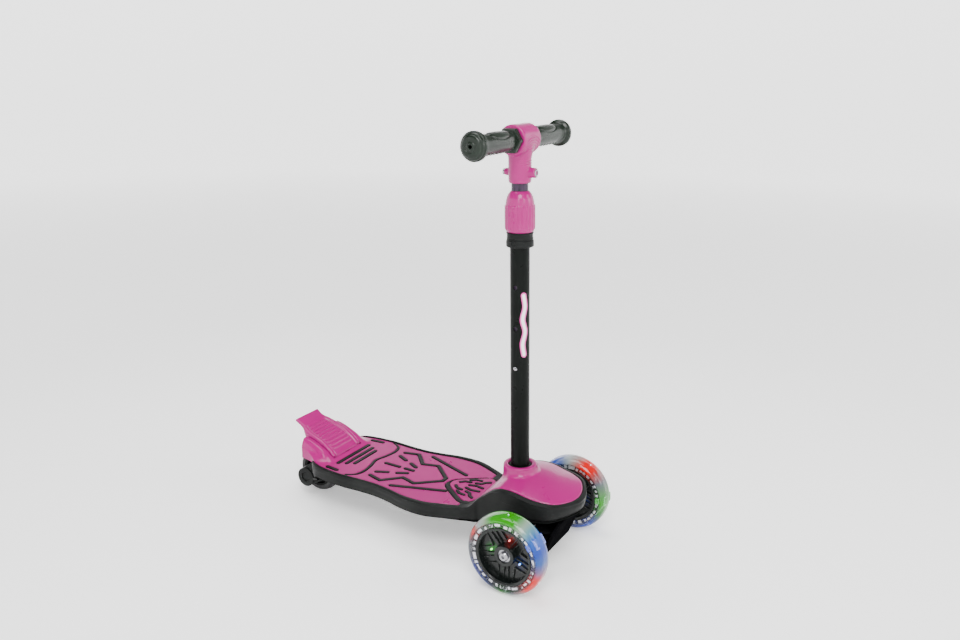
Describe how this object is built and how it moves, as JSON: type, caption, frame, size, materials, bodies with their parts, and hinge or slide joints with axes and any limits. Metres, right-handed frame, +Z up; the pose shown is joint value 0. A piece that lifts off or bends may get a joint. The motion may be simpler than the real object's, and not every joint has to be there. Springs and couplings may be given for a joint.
{
  "type": "kick scooter",
  "caption": "Three-wheeled lean-to-steer kick scooter for small children, with light-up front wheels, a rear foot brake and a height-adjustable handlebar.",
  "frame": {"origin": "on the ground, below the middle of the scooter's length and width", "axes": "+X forward, +Y to the rider's left, +Z up"},
  "size_m": [0.527, 0.262, 0.6406],
  "materials": {
    "black_plastic": "satin",
    "knuckle_nylon": "matte",
    "pink_plastic": "gloss",
    "black_paint": "satin",
    "inner_tube_finish": "satin",
    "grip_rubber": "matte",
    "steel": "brushed",
    "bright_metal": "polished",
    "clear_tyre": "clear",
    "core_ring": "gloss",
    "hub_plastic": "satin",
    "light_module": "clear",
    "magnet": "plated",
    "rear_tyre_rubber": "matte",
    "bush_plastic": "matte"
  },
  "bodies": {
    "chassis": {"deck_base": "black_plastic", "deck_pad": "pink_plastic", "front_pad": "pink_plastic", "rear_cover": "pink_plastic", "front_cover": "pink_plastic", "deck_screws": "bright_metal", "stem_socket": "steel", "socket_screws": "bright_metal", "main_tube": "black_paint", "tube_bushing": "black_plastic", "bushing_screw": "bright_metal", "truck": "black_plastic", "truck_screws": "bright_metal", "kingpins": "steel", "kingpin_nuts": "bright_metal", "centring_springs": "steel", "rear_spacers": "bright_metal", "rear_axle_bolt": "steel", "rear_axle_nut": "bright_metal", "brake_pin": "steel", "brake_spring": "steel"},
    "left_knuckle": {"knuckle_left": "knuckle_nylon", "kingpin_bushes_left": "bush_plastic", "axle_bolt_left": "bright_metal", "axle_magnet_left": "magnet"},
    "right_knuckle": {"knuckle_right": "knuckle_nylon", "kingpin_bushes_right": "bush_plastic", "axle_bolt_right": "bright_metal", "axle_magnet_right": "magnet"},
    "tie_rod": {"tie_rod": "knuckle_nylon", "tie_rod_pins": "steel"},
    "left_wheel": {"tyre_left": "clear_tyre", "core_ring_left": "core_ring", "lights_left": "light_module", "hub_left": "hub_plastic", "bearings_left": "bright_metal"},
    "right_wheel": {"tyre_right": "clear_tyre", "core_ring_right": "core_ring", "lights_right": "light_module", "hub_right": "hub_plastic", "bearings_right": "bright_metal"},
    "rear_wheel": {"rear_tyre": "rear_tyre_rubber", "rear_hub": "black_plastic", "rear_bearings": "bright_metal"},
    "brake": {"brake_pedal": "pink_plastic"},
    "handlebar": {"inner_tube": "inner_tube_finish", "handlebar_head": "pink_plastic", "cross_tube": "steel", "grip_left": "grip_rubber", "grip_right": "grip_rubber", "head_screw": "bright_metal", "head_nut": "bright_metal", "snap_spring": "steel"},
    "snap_button": {"snap_button": "bright_metal"},
    "twist_collar": {"twist_collar": "pink_plastic"}
  },
  "joints": [
    {"name": "steer_left", "type": "hinge", "parent": "chassis", "child": "left_knuckle", "pos_m": [0.197, 0.052, 0.06], "axis": [0.342, 0, 0.9397], "range_deg": [-14, 14], "stiffness_Nm_per_rad": 2, "deforming": ["centring_springs"]},
    {"name": "steer_right", "type": "hinge", "parent": "chassis", "child": "right_knuckle", "pos_m": [0.197, -0.052, 0.06], "axis": [0.342, 0, 0.9397], "range_deg": [-14, 14]},
    {"name": "tie_rod_swing", "type": "hinge", "parent": "left_knuckle", "child": "tie_rod", "pos_m": [0.21767, 0.052, 0.05248], "axis": [0.342, 0, 0.9397], "range_deg": [-14, 14]},
    {"name": "left_wheel_spin", "type": "hinge", "parent": "left_knuckle", "child": "left_wheel", "pos_m": [0.197, 0.1086, 0.06], "axis": [0, 1, 0], "continuous": true},
    {"name": "right_wheel_spin", "type": "hinge", "parent": "right_knuckle", "child": "right_wheel", "pos_m": [0.197, -0.1086, 0.06], "axis": [0, 1, 0], "continuous": true},
    {"name": "rear_wheel_spin", "type": "hinge", "parent": "chassis", "child": "rear_wheel", "pos_m": [-0.228, 0, 0.038], "axis": [0, 1, 0], "continuous": true},
    {"name": "brake_press", "type": "hinge", "parent": "chassis", "child": "brake", "pos_m": [-0.178, 0, 0.0775], "axis": [0, -1, 0], "range_deg": [0, 5], "stiffness_Nm_per_rad": 1.2, "springref_deg": -3.44, "deforming": ["brake_spring"]},
    {"name": "handlebar_height", "type": "slide", "parent": "chassis", "child": "handlebar", "axis": [-0.0279, 0, 0.9996], "range_m": [0, 0.12], "deforming": ["snap_button"]},
    {"name": "snap_button_press", "type": "slide", "parent": "handlebar", "child": "snap_button", "axis": [0, 1, 0], "range_m": [0, 0.0045], "stiffness_N_per_m": 900, "springref_m": -0.001, "deforming": ["snap_spring"]},
    {"name": "collar_twist", "type": "hinge", "parent": "chassis", "child": "twist_collar", "pos_m": [0.14598, 0, 0.5198], "axis": [-0.0279, 0, 0.9996], "range_deg": [0, 90]}
  ],
  "couplings": [
    {"joint": "steer_right", "follows": "steer_left", "ratio": 1},
    {"joint": "tie_rod_swing", "follows": "steer_left", "ratio": -1}
  ]
}
